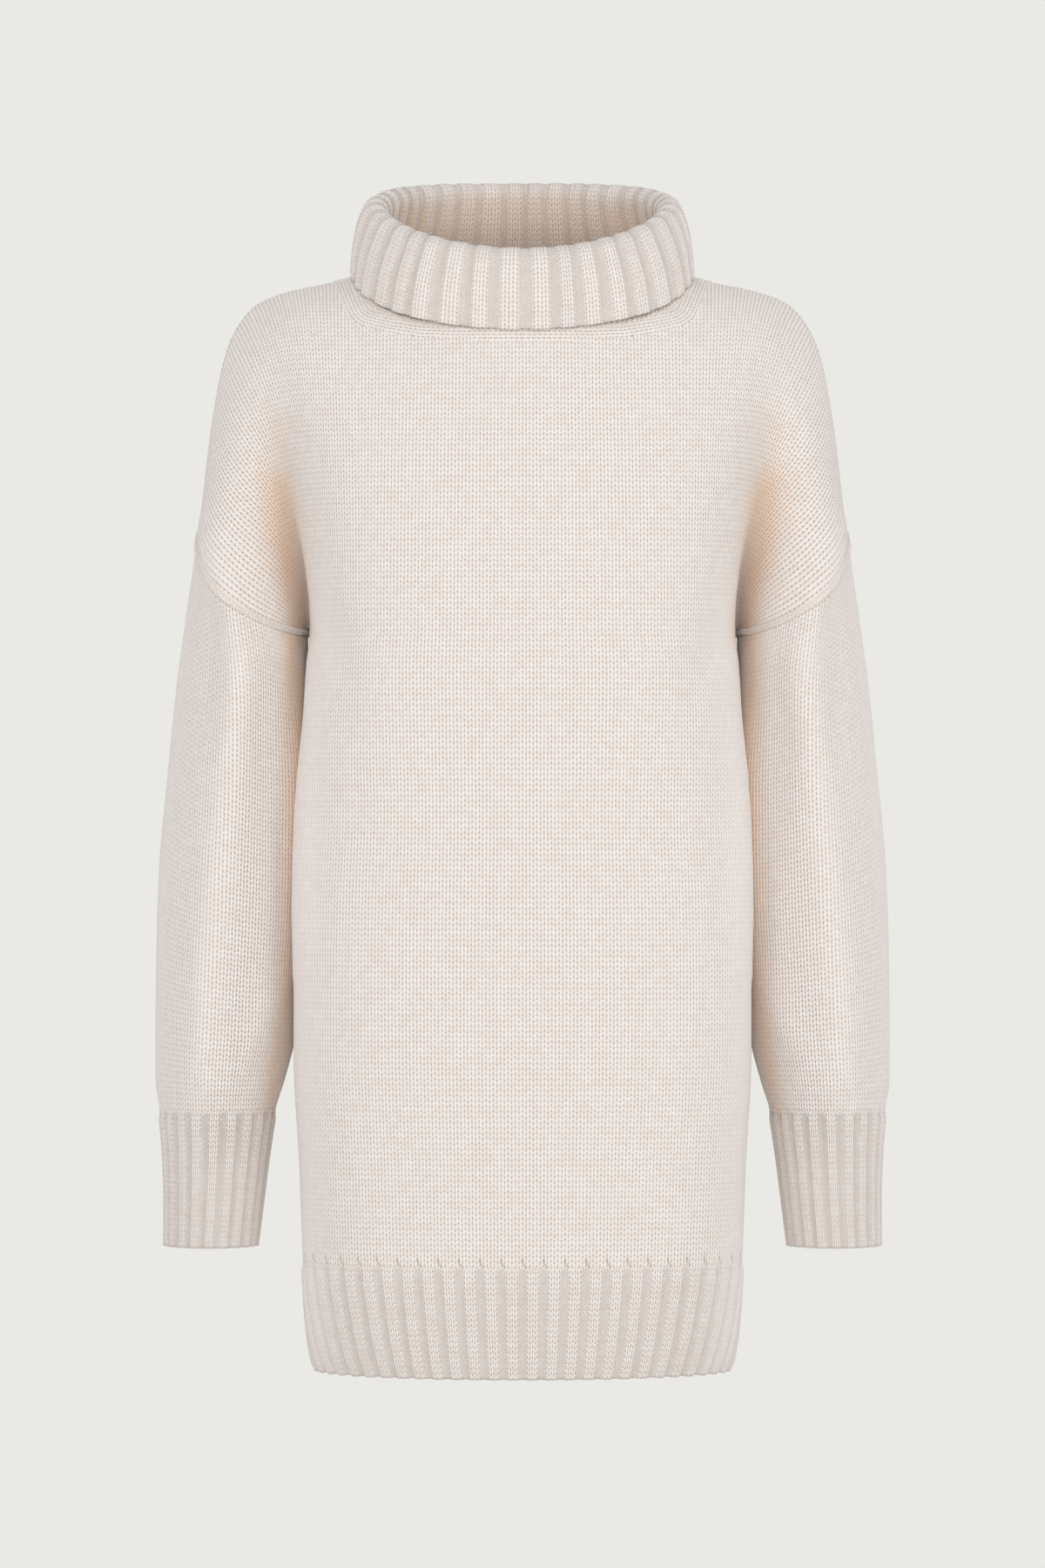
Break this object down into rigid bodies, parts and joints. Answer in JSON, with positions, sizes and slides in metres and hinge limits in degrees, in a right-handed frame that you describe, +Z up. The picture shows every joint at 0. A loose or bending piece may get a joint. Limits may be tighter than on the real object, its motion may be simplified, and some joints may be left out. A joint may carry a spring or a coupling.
{
  "type": "turtleneck sweater",
  "caption": "Long loose knitted sweater, hollow as worn, with drop shoulders, long sleeves with ribbed cuffs, a ribbed hem and a folded ribbed turtleneck.",
  "frame": {"origin": "midway between the two points where the shoulder line meets the neck, where the wearer's shoulders carry the sweater", "axes": "+Z up, -Y towards the front, +X towards the wearer's left"},
  "size_m": [0.5212, 0.2495, 0.85],
  "materials": {
    "wool": "matt undyed wool, plain knit with ribs"
  },
  "bodies": {
    "root": {"front_panel": "wool", "back_panel": "wool", "sleeve_left": "wool", "sleeve_right": "wool", "collar": "wool"}
  },
  "joints": []
}
